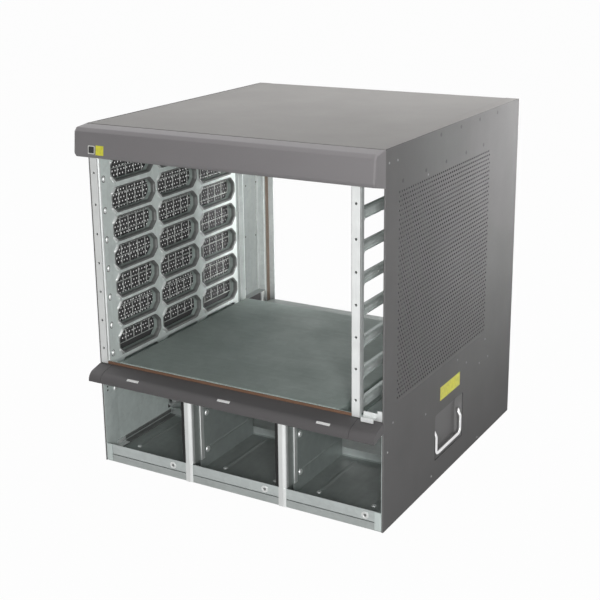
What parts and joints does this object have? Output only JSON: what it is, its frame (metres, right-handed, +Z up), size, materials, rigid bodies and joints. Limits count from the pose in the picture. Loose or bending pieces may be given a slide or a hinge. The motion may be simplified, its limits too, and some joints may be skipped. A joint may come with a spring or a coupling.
{
  "type": "modular router chassis",
  "caption": "Empty modular network chassis with card slots above power bays, perforated sides and wire bail handles.",
  "frame": {"origin": "middle of the footprint on the floor", "axes": "+X to the right seen from the front, +Y to the rear, +Z up"},
  "size_m": [0.4382, 0.4686, 0.4826],
  "materials": {
    "painted_grey": "fine textured paint",
    "galvanised_sheet": "zinc plated",
    "bright_steel": "bright plated",
    "guard_wire": "zinc plated wire",
    "grey_moulding": "matte",
    "brown_gasket": "matte",
    "yellow_print": "printed film",
    "black_socket": "gloss",
    "chrome_wire": "plated"
  },
  "bodies": {
    "chassis": {"left_side_panel": "painted_grey", "right_side_panel": "painted_grey", "top_cover": "painted_grey", "left_handle_dish": "painted_grey", "right_handle_dish": "painted_grey", "base_pan": "galvanised_sheet", "left_cage_wall": "galvanised_sheet", "right_cage_wall": "galvanised_sheet", "left_bay_liner": "galvanised_sheet", "right_bay_liner": "galvanised_sheet", "left_rear_liner": "galvanised_sheet", "right_rear_liner": "galvanised_sheet", "left_rear_corner_post": "galvanised_sheet", "right_rear_corner_post": "galvanised_sheet", "rear_lower_panel": "galvanised_sheet", "card_deck": "galvanised_sheet", "lower_crossmember": "galvanised_sheet", "upper_crossmember": "galvanised_sheet", "cage_ceiling": "galvanised_sheet", "psu_tray": "galvanised_sheet", "left_psu_divider": "galvanised_sheet", "right_psu_divider": "galvanised_sheet", "left_bay_guide": "galvanised_sheet", "right_bay_guide": "galvanised_sheet", "left_front_rail": "bright_steel", "right_front_rail": "bright_steel", "left_psu_post": "bright_steel", "right_psu_post": "bright_steel", "fan_slot_bracket": "bright_steel", "sill_inserts": "bright_steel", "psu_floor_studs": "bright_steel", "left_air_guard": "guard_wire", "fascia": "grey_moulding", "hood_body": "grey_moulding", "hood_left_cap": "grey_moulding", "hood_right_cap": "grey_moulding", "front_gasket": "brown_gasket", "left_rear_gasket": "brown_gasket", "right_rear_gasket": "brown_gasket", "side_sticker": "yellow_print", "fascia_mark": "yellow_print", "earth_jack": "black_socket"},
    "right_bail": {"right_handle_bail": "chrome_wire"},
    "left_bail": {"left_handle_bail": "chrome_wire"}
  },
  "joints": [
    {"name": "right_bail_swing", "type": "hinge", "parent": "chassis", "child": "right_bail", "pos_m": [0.2128, 0, 0.072], "axis": [0, -1, 0], "range_deg": [0, 90]},
    {"name": "left_bail_swing", "type": "hinge", "parent": "chassis", "child": "left_bail", "pos_m": [-0.2128, 0, 0.072], "axis": [0, 1, 0], "range_deg": [0, 90]}
  ]
}
